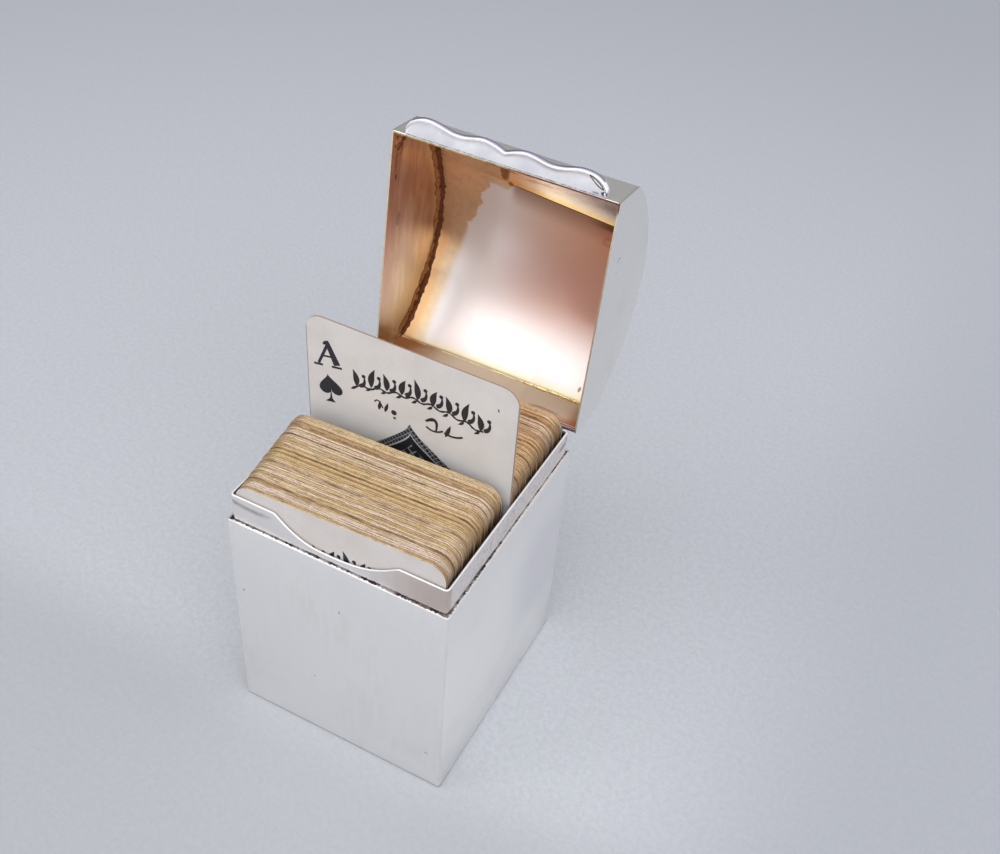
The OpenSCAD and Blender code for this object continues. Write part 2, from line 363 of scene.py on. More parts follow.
def blackened(finish, near, thickness):
    """Adds the broken dark line that old solder leaves. Near is the distance from it in millimetres."""
    ragged = finish.cloud(0.42, detail=4.0, roughness=0.75)
    x, y, _ = finish.apart(finish.place)
    thicker = x.span(-12, 14, 0.8, 1.0) * y.span(-17, 10, 1.0, 0.45)
    reach = ragged.span(0.3, 0.6, 0.35, 1.15) * thicker * thickness
    mask = (near - reach).fall(-0.035, 0.035) * finish.cloud(1.5).span(0.38, 0.6, 0.6, 1.0)
    finish.paint(mask, (50, 35, 44))
    metal = mask.span(0.0, 1.0, 0.9, 0.35, kind="LINEAR")
    return finish.lay(Roughness=finish.rough + mask * 0.35, Metallic=metal)


def case_silver():
    finish = silver("case_silver", light=(253, 252, 250))
    x, y, z = finish.apart(finish.place)
    # Painted shade: the walls darken towards the foot.
    finish.paint(z.span(1, 22, 0.35, 0.0), (226, 225, 226))
    for at, size in (((-15.2, 24.5), (0.16, 0.2)), ((0.55, 29.3), (0.1, 0.3)), ((14.4, 7.15), (0.3, 0.1)),
                     ((-4.0, 12.6), (0.12, 0.12))):
        far = (abs(x - at[0]) / size[0]).at_least(abs(z - at[1]) / size[1])
        nick = far.span(0.6, 1.2, 0.6, 0.0) * y.fall(-17.0, -16.9)
        finish.paint(nick, (110, 108, 106))
    # Painted shade: a greyer patch at mid height on the back half of the right wall.
    rear = y.span(-1, 9) * z.span(8, 15) * z.span(24, 34, 1.0, 0.2) * x.span(15.5, 16.5)
    finish.paint(rear, (239, 237, 240))
    away = (abs(x) - COLLAR_HALF_X).at_least(abs(y) - COLLAR_HALF_Y)
    blackened(finish, away + ((STEP_Z - z) * 4.0).at_least(0.0), 0.32)
    # Painted shade: a dark line along the foot where the box meets the table, and a fainter line down the
    # front right bend, weaker near the top.
    foot = z.span(0.1, 0.3, 0.85, 0.0)
    front_corner = abs(x - WALL_HALF_X - (y + WALL_HALF_Y)).span(0.1, 0.3, 0.3, 0.0)
    finish.paint(foot.at_least(front_corner * z.span(30, 36, 1.0, 0.2)), (92, 88, 86))
    return finish.lay()


EDGE = 0.07
wall_section = [(0.3, 0.0), (0.13, 0.05), (0.04, 0.13), (0.0, 0.28), (0.0, STEP_Z - EDGE),
                (EDGE * 0.3, STEP_Z - EDGE * 0.3), (EDGE, STEP_Z), (WALL, STEP_Z), (WALL, 0.0)]
wall_stations = round_the_box(WALL_HALF_X, WALL_HALF_Y, BEND)
case_walls = piece("case_walls_sheet", bent_sheet(wall_stations, lambda place: wall_section),
                   grid_faces(len(wall_stations), len(wall_section), True), [case_silver()],
                   "case")
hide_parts("case_walls")

# Base plate: a flat plate of the same silver, cut to fit between the walls.
# It is let in from below and soldered all round, so that only its edge shows.


def dress(name, material):
    """Gives a node, as it comes from the CAD, its finish."""
    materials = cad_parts[name].data.materials
    materials.clear()
    materials.append(material)


dress("base_plate", silver("base_silver", soil=(128, 118, 108), gloss=0.34).material)

# Collar: a thin strip bent round inside the mouth, which keeps the closed lid in place.
# Its front is cut down in an ogee dip for a finger, and its bare upper edge is worn bright; the faces of
# that edge which turn upwards carry a painted highlight, a white and less metallic finish.
COLLAR = 0.28
COLLAR_BEND = 0.62
DIP_LEFT, DIP_RIGHT, DIP_LOW_X, DIP_DEPTH = 7.4, 11.5, -2.1, 3.4


def collar_height(place):
    """Height of the collar's upper edge, which dips in front and was filed lower towards the back."""
    if place.y > -COLLAR_HALF_Y + COLLAR:
        return COLLAR_TOP - 0.55 * (place.y / COLLAR_HALF_Y + 1) / 2
    x = place.x - DIP_LOW_X
    width, fullness = (DIP_LEFT, 2.2) if x < 0 else (DIP_RIGHT, 3)
    t = 1 - abs(x) / width
    if t <= 0:
        return COLLAR_TOP
    return COLLAR_TOP - DIP_DEPTH * (1 - (1 - t * t * 1.05 / (t + 0.05)) ** fullness)


def collar_section(place):
    top = collar_height(place)
    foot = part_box("collar")[0].z / MM
    half = COLLAR / 2
    crown = [(half - half * cos(a * pi / 6), top - 0.8 * half * (1 - sin(a * pi / 6))) for a in range(7)]
    return [(0.0, foot)] + crown + [(COLLAR, foot)]


def spot(x, y, at, size, ragged=None):
    """1 inside a soft oval at a place, 0 outside it."""
    dx = (x - at[0]) / size[0]
    dy = (y - at[1]) / size[1]
    away = (dx * dx + dy * dy) ** 0.5
    if ragged:
        away = ragged * 1.6 + (away - 0.8)
    return away.fall(0.7, 1.15)


def collar_silver():
    finish = silver("collar_silver", light=(246, 242, 240), soil=(168, 154, 146), gloss=0.34, wear=1.4)
    x, y, z = finish.apart(finish.place)
    cloud = finish.cloud(0.9, detail=5.0, roughness=0.7)
    sag = ((x + 12.6) / 2.8) ** 2 * 0.3
    off = abs(z - sag - (COLLAR_TOP - 1.45))
    smear = (cloud * 0.8 + off).span(0.25, 1.05, 0.6, 0.0) * y.fall(-17.0, -16.9)
    side = x.span(15.9, 16.1) * cloud.span(0.46, 0.66, 0.0, 0.3) * abs(y).span(9, 15, 1.0, 0.3)
    blot = spot(y, z, (15.6, 40.2), (1.3, 0.5), cloud)
    blot = blot.at_least(spot(y, z, (16.9, 40.9), (0.5, 0.7), cloud))
    finish.paint(side.at_least(blot * x.span(15.9, 16.1, 0.0, 0.6)), (132, 104, 116))
    finish.paint(smear * x.fall(-11.5, -9.2), (132, 116, 106))
    finish.paint(x.span(2, 15) * y.span(-16.9, -16.0, 0.7, 0.15), (200, 178, 164))
    # Painted shade: the back of the collar, and the back end of its left side, darken below the top edge.
    inner = COLLAR_HALF_X - COLLAR
    inside = x.fall(inner, inner + 0.06) * z.span(COLLAR_TOP - 1.2, COLLAR_TOP - 0.7, 0.9, 0.0)
    finish.paint(inside * y.span(14, 16), (60, 42, 34))
    return blackened(finish, z - STEP_Z, 0.24)


collar_stations = round_the_box(COLLAR_HALF_X, COLLAR_HALF_Y, COLLAR_BEND, cuts=110)
# Painted highlight: faces that turn upwards get a white, less metallic finish.
collar_rim = Finish("collar_rim", Metallic=0.3, Roughness=0.42).material
collar_n = len(collar_section(collar_stations[0][0]))
collar = piece("collar_strip", bent_sheet(collar_stations, collar_section),
               grid_faces(len(collar_stations), collar_n, True), [collar_silver(), collar_rim],
               "case", choose=lambda centre, normal: int(normal.z > 0.3))
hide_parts("collar")

# Hinge: two leaves of silver sheet, soldered to case and lid, with five knuckles of drawn tube.
# A pin with peened heads holds them together. The hinge was never polished, so it is duller.
hinge_silver = silver("hinge_silver", light=(206, 198, 190), soil=(104, 88, 78), wear=2.2).material
for name in ("case_hinge_leaf", "case_knuckle_1", "case_knuckle_2", "case_knuckle_3", "hinge_pin",
             "lid_hinge_leaf", "lid_knuckle_1", "lid_knuckle_2"):
    dress(name, hinge_silver)

# Lid cover: one sheet bent into the front wall, the vault and the back wall, and gilt inside.
# Half of the gilding is rubbed through to the silver, with a ragged edge on the left.
pin_low, pin_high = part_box("hinge_pin")
HINGE_Y, HINGE_Z = (pin_low.y + pin_high.y) / (2 * MM), (pin_low.z + pin_high.z) / (2 * MM)
LID_ANGLE = radians(97.2)
LID_SHEET = 0.3
RIM_Z = STEP_Z + 0.03
CREASE_Z = RIM_Z + 6.75
VAULT_RISE = 9.7
VAULT_RADIUS = (WALL_HALF_Y ** 2 + VAULT_RISE ** 2) / (2 * VAULT_RISE)
VAULT_Z = CREASE_Z + VAULT_RISE - VAULT_RADIUS


def stood_open(x, y, z):
    """Where a point of the closed lid is when the lid stands open."""
    dy, dz = y - HINGE_Y, z - HINGE_Z
    return Vector((x, HINGE_Y + dy * cos(LID_ANGLE) + dz * sin(LID_ANGLE),
                   HINGE_Z - dy * sin(LID_ANGLE) + dz * cos(LID_ANGLE)))


def curve(start, bend, end, cuts=10):
    """Points of a curve that leaves its start towards the bend."""
    return [tuple(Vector(start) * (1 - t) ** 2 + Vector(bend) * 2 * t * (1 - t) + Vector(end) * t * t)
            for t in (i / cuts for i in range(cuts + 1))]


def lid_line(depth, arc_cuts=110, crease=0.45):
    """The closed lid's section from front rim to back rim, at a depth inside its outer face."""
    half = WALL_HALF_Y - depth
    radius = VAULT_RADIUS - depth
    spring = asin(half / radius)
    crease_z = VAULT_Z + radius * cos(spring)
    line = [(-half, RIM_Z + (crease_z - crease - RIM_Z) * i / 8) for i in range(9)]
    first = spring - crease / radius
    end = (-radius * sin(first), VAULT_Z + radius * cos(first))
    line += curve(line[-1], (-half, crease_z), end, 4)[1:4]
    angles = [first * (2 * i / arc_cuts - 1) for i in range(arc_cuts + 1)]
    arc = [(radius * sin(angle), VAULT_Z + radius * cos(angle)) for angle in angles]
    return line + arc + [(-y, z) for y, z in reversed(line)]


def lay_on_lid(finish):
    """Lays the patterns that follow out in the closed lid's coordinates, and gives these."""
    hinge = Vector((0, HINGE_Y, HINGE_Z))
    shift = hinge - Matrix.Rotation(LID_ANGLE, 3, "X") @ hinge
    finish.place = finish.turned(turn=(LID_ANGLE, 0, 0), shift=shift)
    return finish.apart(finish.place)


def vault_gilding():
    """Old fire gilding, rubbed through on the vault, and folded along the front where it is still thick."""
    finish = Finish("lid_gilding", Metallic=1.0)
    x, y, z = lay_on_lid(finish)
    broad = finish.cloud(6.0)
    fine = finish.cloud(1.2, detail=5.0, roughness=0.6)
    tiny = finish.cloud(0.35, roughness=0.7)
    finish.colour = finish.mix((broad * 5.0 + y).span(-4, 16), (255, 224, 190), (234, 208, 166))
    finish.paint(x.fall(-15.4, -13.6) * y.span(-2, 8, 0.2, 0.75), (220, 164, 104))
    finish.paint(fine.span(0.4, 0.66) * 0.3, (214, 178, 150))
    back_wall = z.fall(CREASE_Z, CREASE_Z + 0.3) * y.span(0, 1)
    stained = x.fall(-14, -5).at_least(x.span(13.5, 16.0, 0.0, 1.0))
    wall_gilt = finish.mix(stained * broad.span(0.3, 0.6, 0.7, 1.0), (242, 230, 206), (184, 128, 84))
    smudge = spot(x, z, (10.2, 40.2), (2.6, 0.45), fine)
    wall_gilt = finish.mix(smudge * 0.5, wall_gilt, (140, 118, 110))
    # Painted highlight and shade on the back wall: light and dark lines in the first millimetre above the
    # rim, and a brown band of painted shade above them.
    above_rim = (fine - 0.5) * 0.5 + (z - RIM_Z)
    painted_rim_lines = finish.mix((above_rim * 13.0).sine().span(0.1, 0.5), (226, 204, 210), (70, 44, 60))
    wall_gilt = finish.mix(above_rim.span(1.0, 1.15, 0.9, 0.0), wall_gilt, painted_rim_lines)
    painted_rim_shade = above_rim.span(1.1, 2.6, 0.6, 0.0) * above_rim.span(1.0, 1.1)
    finish.paint(back_wall, finish.mix(painted_rim_shade, wall_gilt, (196, 132, 84)))

    fold = y - (x * 0.1 - 8.5)
    jag = finish.cloud(2.1, detail=4.0, roughness=0.5).span(0.3, 0.7, -0.95, 0.95, kind="LINEAR")
    bow = y * y * 0.011 - y * 0.28
    left = jag * y.span(-3, 4, 1.0, 0.15) + (x - (bow - 11.1))
    inside = (left / y.span(-3, 8, 0.16, 1.1)).span(-1, 1)
    brow = fold - x.span(-5.2, -4.0, 1.3, 0.0)
    patch = inside * (jag * x.span(-5, -3, 0.3, 0.08) + brow).span(0.05, 0.3)
    patch = patch * z.span(CREASE_Z + 0.1, CREASE_Z + 0.4)
    # The bare silver carries painted reflection: tinted pink towards the right, less so near the back, and
    # red-brown towards the front on the right.
    rosy = (y * 0.25 + x).span(-13, 11) * y.span(7, 14, 1.0, 0.25)
    bare = finish.mix(rosy, (255, 251, 250), (248, 204, 186))
    bare = finish.mix(x.span(6, 15) * y.span(-8, 0, 0.85, 0.0), bare, (236, 146, 112))
    ring = spot(x, y, (11.1, -4.2), (1.0, 0.8), fine) - spot(x, y, (11.1, -4.2), (0.5, 0.4))
    bare = finish.mix(ring * 0.4, bare, (214, 130, 96))
    creamy = y.span(9, 10) * z.span(CREASE_Z + 0.2, CREASE_Z + 1.6, 0.8, 0.0)
    bare = finish.mix(creamy, bare, (255, 246, 206))
    finish.paint(patch, bare)

    # Painted shade: the patch darkens just behind the fold, fading over 4.5 mm.
    under = fold.span(0.0, 4.5, 0.7, 0.0) * x.span(-5.0, -3.6) * fold.span(-0.05, 0.05)
    finish.paint(under, (158, 116, 92))
    corner = x.span(7, 13) * fold.fall(0.9, 1.5) * fold.span(0.0, 0.1)
    seam = corner.at_least((tiny * 0.3 + abs(fold - 0.05)).fall(0.2, 0.34))
    finish.paint(seam * x.span(-4.5, -3.0) * 0.85, (84, 62, 28))
    # Partly painted highlight: beyond the fold towards the front, the gilding is painted paler, near white
    # away from the fold, for the bright reflection it carries.
    band = fold.fall(-0.05, 0.05) * x.span(-9, -3.5, 0.35, 1.0)
    bright = finish.mix((fine * 0.8 + fold).span(-0.9, 0.3), (255, 252, 244), (254, 230, 170))
    finish.paint(band, bright)
    pits = finish.specks(0.8, 0.3) * z.span(CREASE_Z + 0.9, CREASE_Z + 1.6, 0.8, 0.0)
    finish.paint(pits * x.span(-2, 6), (150, 110, 40))
    streak = finish.streaks((0.5, 1.8, 1.8), detail=4.0)
    streak = streak.span(0.45, 0.6) * (fold.fall(-2.6, -1.4) * x.span(-4, 9, 0.6, 0.1))
    finish.paint(streak, (190, 128, 100))
    brown = spot(x, y, (-5.35, -10.6), (0.8, 1.3), fine).at_least(spot(x, y, (13.3, 16.35), (0.24, 0.3)))
    brown = brown.at_least(spot(x, y, (-4.6, -8.9), (0.5, 0.4), fine))
    finish.paint(brown * 0.75, (120, 78, 48))
    finish.paint(finish.specks(1.9, 0.16) * 0.55, (120, 84, 62))

    above = fold.at_most(0.0)
    below = fold.at_least(0.0).at_most(6.0)
    relief = above * (0.045 - above * 0.028) + below * (0.176 - below * 0.0147)
    relief = relief * x.span(-12, -5, 0.25, 1.0)
    to_left = (x + 5.0).at_most(0.0)
    to_right = (x - 6.0).at_least(0.0)
    dish = to_left * to_left * 0.012 - to_right * (y - 2.0) * 0.0125
    folded = finish.bump(dish * y.span(2, 9) + relief, 1.0)
    rough = patch * 0.05 + fine.span(0.3, 0.7, 0.28, 0.31) - band * 0.15
    metal = 0.8 - patch * x.span(-9, 1, 0.25, 0.0) - back_wall * 0.3 + band * 0.2
    return finish.lay(Roughness=rough, Metallic=metal, Normal=finish.bump(fine, 0.002, folded))


def end_gilding():
    """The end plates' gilding: coppery and stained towards the front, paler towards the hinge."""
    finish = Finish("end_gilding", Metallic=0.82)
    x, y, z = lay_on_lid(finish)
    broad = finish.cloud(5.0, detail=4.0)
    smeared = finish.streaks((0.4, 0.14, 0.7), detail=4.0)
    fine = finish.cloud(0.9, detail=5.0, roughness=0.7)
    back = (broad * 10.0 + y).span(-4, 18)
    left = x.fall(-1, 1)
    finish.colour = finish.mix(back, (186, 135, 108), finish.mix(left, (238, 222, 194), (190, 172, 146)))
    finish.paint(smeared.span(0.4, 0.7) * 0.3, (240, 214, 176))
    depth = broad * 3.0 + z
    finish.paint(depth.span(RIM_Z + 1.5, RIM_Z + 6.5, 0.35, 0.0), (166, 104, 84))
    near_seam = (y * y + (z - VAULT_Z) ** 2) ** 0.5
    finish.paint(near_seam.span(VAULT_RADIUS - 3.4, VAULT_RADIUS - 1.6, 0.0, 0.4), (226, 206, 162))
    scar = spot(y, z, (-15.6, 40.0), (1.9, 1.5), broad) * left
    finish.paint(scar, finish.mix(fine.span(0.42, 0.56), (88, 48, 34), (214, 152, 120)))
    for at, size, share, stain in (((-13.0, 39.3), (1.9, 0.4), 0.45, (120, 62, 42)),
                                   ((-10.6, 39.55), (0.5, 0.25), 0.85, (50, 34, 30)),
                                   ((-3.6, 41.1), (1.2, 0.6), 0.5, (112, 78, 84)),
                                   ((15.8, 40.2), (1.7, 1.2), 0.6, (206, 158, 88)),
                                   ((-13.4, 41.6), (1.0, 0.7), 0.5, (232, 190, 130)),
                                   ((16.9, 38.9), (0.9, 0.5), 0.8, (206, 190, 200))):
        finish.paint(spot(y, z, at, size, fine) * left * share, stain)
    finish.paint(finish.specks(1.7, 0.16) * 0.6, (110, 74, 52))
    return finish.lay(Roughness=0.3)


def rim_finish():
    """The lid's narrow rim, gold-brown where the gilding runs over it."""
    finish = Finish("lid_rim", Metallic=0.9, Roughness=0.4)
    x, y, _ = lay_on_lid(finish)
    fine = finish.cloud(0.7, detail=5.0, roughness=0.7)
    right = x.span(-2, 4) * y.fall(-17, -16)
    sides = abs(x).span(WALL_HALF_X - 0.35, WALL_HALF_X - 0.3)
    finish.colour = finish.mix(right, finish.mix(sides, (214, 196, 140), (240, 230, 206)), (150, 92, 84))
    at_back = y.span(WALL_HALF_Y - 1, WALL_HALF_Y - 0.6)
    finish.paint(at_back, finish.mix(fine.span(0.42, 0.56), (84, 62, 80), (232, 214, 222)))
    specked = fine.span(0.42, 0.66, 0.0, 0.7) * (1.0 - sides * 0.75)
    finish.paint(specked, (96, 80, 44))
    return finish.lay()


def plate_silver():
    """The end plates' outer silver. The right one has a scratch, two dots and a small dent, shown as a
    painted white glint with painted shade below it.
    """
    finish = silver("plate_silver")
    x, y, z = lay_on_lid(finish)
    right = x.span(0, 1)
    for at, size, share, stain in (((-8.5, 41.9), (0.12, 0.3), 0.8, (84, 84, 98)),
                                   ((-8.2, 41.5), (0.25, 0.1), 0.8, (84, 84, 98)),
                                   ((-6.5, 41.6), (0.14, 0.1), 0.7, (110, 108, 112))):
        finish.paint(spot(y, z, at, size) * right * share, stain)
    # Painted highlight and shade: the dent is a white glint with a darker line below it.
    dent = spot(y, z, (4.1, 45.4), (0.24, 0.16)) * right
    finish.paint(dent, (255, 255, 255))
    finish.paint(spot(y, z, (4.1, 45.22), (0.24, 0.06)) * right * 0.5, (110, 108, 112))
    return finish.lay(Metallic=1.0 - dent)


lid_silver = silver("lid_silver").lay(Metallic=0.86)
plate_outside = plate_silver()
lid_gilt = vault_gilding()
end_gilt = end_gilding()
lid_rim = rim_finish()

outer_line, inner_line = lid_line(0), lid_line(LID_SHEET)
lip = 0.06
lid_ring = [(outer_line[0][0] + lip, RIM_Z), (outer_line[0][0], RIM_Z + lip)] + outer_line[1:-1]
lid_ring += [(outer_line[-1][0], RIM_Z + lip), (outer_line[-1][0] - lip, RIM_Z)] + inner_line[::-1]
COVER_HALF_X = WALL_HALF_X - LID_SHEET
cover_cuts = 16
cover_points = [stood_open(COVER_HALF_X * (2 * i / cover_cuts - 1), y, z)
                for i in range(cover_cuts + 1) for y, z in lid_ring]
cover_faces = grid_faces(cover_cuts + 1, len(lid_ring))
ring_n = len(lid_ring)
inner_n = len(inner_line)
for base in (0, cover_cuts * ring_n):
    ring = list(range(base, base + ring_n))
    outer_side, inner_side = ring[:ring_n - inner_n], ring[ring_n - inner_n:][::-1]
    for i in range(inner_n - 1):
        first = outer_side[min(i + (i > 0), len(outer_side) - 1)]
        second = outer_side[min(i + 2, len(outer_side) - 2)]
        cover_faces.append((first, second, inner_side[i + 1], inner_side[i]))


def closed_lid(point):
    """The closed lid's coordinates of a point on the open lid."""
    dy, dz = point.y - HINGE_Y, point.z - HINGE_Z
    return (HINGE_Y + dy * cos(LID_ANGLE) - dz * sin(LID_ANGLE),
            HINGE_Z + dy * sin(LID_ANGLE) + dz * cos(LID_ANGLE))


def inside_lid(centre, normal):
    """1 on the lid's gilt inner face, 2 on its rim, 0 outside."""
    y, z = closed_lid(centre)
    if z < RIM_Z + 0.01:
        return 2
    if z > CREASE_Z:
        return int(sqrt(y * y + (z - VAULT_Z) ** 2) < VAULT_RADIUS - 0.7 * LID_SHEET)
    return int(abs(y) < WALL_HALF_Y - 0.7 * LID_SHEET)


lid_cover = piece("lid_cover_sheet", cover_points, cover_faces, [lid_silver, lid_gilt, lid_rim], "lid",
                  sharp=28, choose=inside_lid)
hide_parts("lid_cover")

# Lid ends: two plates of the same sheet, cut to the vault's shape and soldered over the cover's ends.
# They are gilt inside as the cover is, and coppery where the gilding is thin.
end_outline = lid_line(0)
end_inner = [(y, max(z, RIM_Z + lip)) for y, z in lid_line(lip)]


def end_choice(centre, normal):
    """1 on an end plate's gilt inner face, 2 on its rim, 0 outside."""
    if abs(centre.x) < COVER_HALF_X + 0.001:
        return 1
    return 2 * (closed_lid(centre)[1] < RIM_Z + 0.02)


for side, name in ((-1, "lid_left_end"), (1, "lid_right_end")):
    rings = [(COVER_HALF_X, end_outline), (WALL_HALF_X - lip, end_outline), (WALL_HALF_X, end_inner)]
    end_points = [stood_open(side * x, y, z) for x, line in rings for y, z in line]
    plate = piece(name + "_plate", end_points, tube_faces(len(rings), len(end_outline)),
                  [plate_outside, end_gilt, lid_rim], "lid", choose=end_choice)
    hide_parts(name)

# Solder seams: where the end plates and the vault meet the walls, run in by hand and never cleaned off.
# They are brown and golden, uneven in width, and stop short of the collar's reach.


def solder_finish(name, pale, middle, deep):
    """Solder with streaks that run along the seam, darkest where it meets the sheets."""
    finish = Finish(name, Metallic=0.6, Roughness=0.4)
    lay_on_lid(finish)
    across = finish.stored("across_seam")
    wave = finish.cloud(1.7, detail=2.0)
    fine = finish.cloud(0.45, detail=4.0, roughness=0.7)
    at = (wave - 0.5) * 1.7 + across
    at = (fine - 0.5) * 0.6 + at
    finish.colour = finish.mix(at.span(0.4, 0.6), middle, pale)
    finish.paint(abs(at - 0.46).span(0.03, 0.12, 0.7, 0.0), deep)
    brink = abs(across - 0.5).span(0.34, 0.5)
    finish.paint(brink * fine.span(0.3, 0.6, 1.0, 0.5), deep)
    finish.paint(fine.span(0.52, 0.62, 0.0, 0.75), deep)
    return finish.lay(Normal=finish.bump(fine + wave, 0.05))


def wander(station, pace, row):
    """Slow noise along a seam, from -1 to 1."""
    return noise.noise(Vector((station * pace, row, 0.0)))


def solder_seam(name, stations, finish, reach_across, reach_in):
    """A hollow fillet in a corner. Each station is a place, two directions and how full it is there."""
    profile = ((0.0, 0.0), (1.0, 0.0), (0.66, 0.12), (0.4, 0.26), (0.26, 0.4), (0.12, 0.66), (0.0, 1.0))
    points = []
    for k, (place, across, inward, full) in enumerate(stations):
        uneven = 1 + 0.5 * wander(k, 0.11, 3.7) + 0.3 * wander(k, 0.37, 9.1)
        other = 1 + 0.5 * wander(k, 0.13, 21.3) + 0.3 * wander(k, 0.41, 5.5)
        ragged = 1 + 0.35 * wander(k, 1.3, 14.2)
        for u, v in profile:
            points.append(place + across * (u * reach_across * full * uneven * ragged - 0.01)
                          + inward * (v * reach_in * full * other - 0.01))
    n = len(profile)
    faces = tube_faces(len(stations), n)
    made = piece(name, points, faces, [finish], "lid", sharp=50)
    attribute = made.data.attributes.new("across_seam", "FLOAT", "POINT")
    attribute.data.foreach_set("value", [max(0, k - 1) / (n - 2) for _ in stations for k in range(n)])
    return made


def heading(path, i):
    """Which way a path runs at one of its points."""
    before, after = path[max(i - 1, 0)], path[min(i + 1, len(path) - 1)]
    return Vector((after[0] - before[0], after[1] - before[1])).normalized()


def lid_way(dx, dy, dz):
    """A direction of the closed lid, as it points on the open lid."""
    return stood_open(dx, dy, dz) - stood_open(0, 0, 0)


brown_solder = solder_finish("brown_solder", (178, 124, 76), (114, 66, 38), (52, 30, 20))
gold_solder = solder_finish("gold_solder", (255, 238, 176), (206, 164, 70), (88, 70, 20))
seam_line = [(y, z) for y, z in lid_line(LID_SHEET) if z > COLLAR_TOP + 0.6]
for side, name in ((-1, "lid_left_seam"), (1, "lid_right_seam")):
    stations = []
    for k, (y, z) in enumerate(seam_line):
        run = heading(seam_line, k)
        ends = min(1, k / 5 + 0.15, (len(seam_line) - 1 - k) / 5 + 0.15)
        full = ends * (0.7 + 0.3 * min(1, (z - COLLAR_TOP) / 3))
        stations.append((stood_open(side * COVER_HALF_X, y, z), lid_way(-side, 0, 0),
                         lid_way(0, run.y, -run.x), full))
    solder_seam(name, stations, brown_solder, 0.62, 1.55)
for side, name in ((1, "lid_back_seam"), (-1, "lid_front_seam")):
    stations = []
    bead_cuts = 120
    for k in range(bead_cuts + 1):
        x = COVER_HALF_X * (2 * k / bead_cuts - 1)
        swell = 0.5 + 0.5 * max(0, min(1, (x + 1) / 6))
        place = stood_open(x, side * (WALL_HALF_Y - LID_SHEET), CREASE_Z - 0.12)
        stations.append((place, lid_way(0, 0, -1), lid_way(0, -side * 0.78, 0.63), swell))
    solder_seam(name, stations, gold_solder, 0.24, 0.4)

# Thumbpiece: a scalloped ledge of silver with a half-round bead along its edge.
# It is soldered to the lid's front along the rim, and lifts the lid.
THUMB_HALF = 14.9
THUMB_OUTER, THUMB_INNER, THUMB_VALLEY, THUMB_NOTCH = 2.95, 2.75, 2.2, 1.95
BEAD, WEB = 0.45, 0.6


def thumb_reach(x):
    """How far the ledge reaches in front of the lid, at a distance from its middle."""
    lobe, valley, shoulder = 0.21 * THUMB_HALF, 0.46 * THUMB_HALF, 0.76 * THUMB_HALF
    if x < lobe:
        return THUMB_NOTCH + (THUMB_INNER - THUMB_NOTCH) * sin(pi / 2 * x / lobe)
    if x < valley:
        return THUMB_INNER + (THUMB_VALLEY - THUMB_INNER) * (1 - cos(pi * (x - lobe) / (valley - lobe))) / 2
    if x < shoulder:
        rise = (1 - cos(pi * (x - valley) / (shoulder - valley))) / 2
        return THUMB_VALLEY + (THUMB_OUTER - THUMB_VALLEY) * rise
    return THUMB_OUTER * sqrt(max(0, 1 - ((x - shoulder) / (THUMB_HALF - shoulder)) ** 2.4))


def thumb_section(reach):
    """Section of the ledge: a shallow cove below, the bead round the edge, and a thinner web behind."""
    reach = max(reach, 2 * BEAD)
    middle = reach - BEAD
    cove = min(0.07, 0.1 * (middle - BEAD))
    section = [(0, 0), (0.3 * middle, 0), (0.6 * middle, cove), (0.85 * middle, cove * 1.2),
               (0.96 * middle, 0.02)]
    for i in range(15):
        angle = -pi / 2 + pi * i / 14
        section.append((middle + BEAD * cos(angle), BEAD + BEAD * sin(angle)))
    return section + [(middle - 0.12, 2 * BEAD - 0.08), (middle - 0.3, WEB), (0, WEB)]


thumb_cuts = 90
thumb_points = []
for i in range(-thumb_cuts, thumb_cuts + 1):
    x = 0.985 * THUMB_HALF * sin(pi / 2 * i / thumb_cuts)
    thumb_points += [stood_open(x, -WALL_HALF_Y - out, RIM_Z + up)
                     for out, up in thumb_section(thumb_reach(abs(x)))]
thumb_faces = tube_faces(2 * thumb_cuts + 1, len(thumb_section(THUMB_OUTER)))


def thumb_finish():
    """Bright silver, with a dark crescent near its right end, grime along its joint, and painted shade on
    the face next to the joint.
    """
    finish = Finish("thumb_silver", Metallic=0.7, Roughness=0.26)
    finish.colour = finish.mix(finish.cloud(4.0).span(0.35, 0.7), (255, 255, 255), (234, 233, 238))
    x, y, z = lay_on_lid(finish)
    fine = finish.cloud(0.5, detail=4.0, roughness=0.7)
    along = x - 12.0
    off = abs(y - (along * 0.64 - 20.35))
    off = abs(off - (0.26 - (along - 1.1) ** 2.0 * 0.2))
    crescent = (fine * 0.2 + off).fall(0.14, 0.24) * x.span(11.9, 12.1) * x.fall(14.1, 14.3)
    in_front = z.fall(RIM_Z + 0.3, RIM_Z + 0.4)
    finish.paint(crescent * in_front, (70, 70, 48))
    blot = spot(x, y, (13.2, -18.3), (0.5, 0.14), fine) * 0.6
    blot = blot.at_least(spot(x, y, (14.35, -18.4), (0.5, 0.3), fine))
    finish.paint(blot * in_front, (66, 58, 78))
    joint = y.span(-WALL_HALF_Y - 0.22, -WALL_HALF_Y - 0.1) * fine.span(0.42, 0.56, 0.1, 0.85)
    finish.paint(joint, (96, 92, 100))
    # Painted shade: the face greys slightly towards the joint.
    finish.paint(y.span(-WALL_HALF_Y - 1.2, -WALL_HALF_Y - 0.3, 0.0, 0.12), (150, 150, 160))
    return finish.lay()


def ledge_choice(centre, normal):
    """1 on the side of the bead that faces up, 2 where it turns towards the front, 0 elsewhere."""
    return 1 if normal.z > 0.7 else 2 * (normal.z > 0.3)


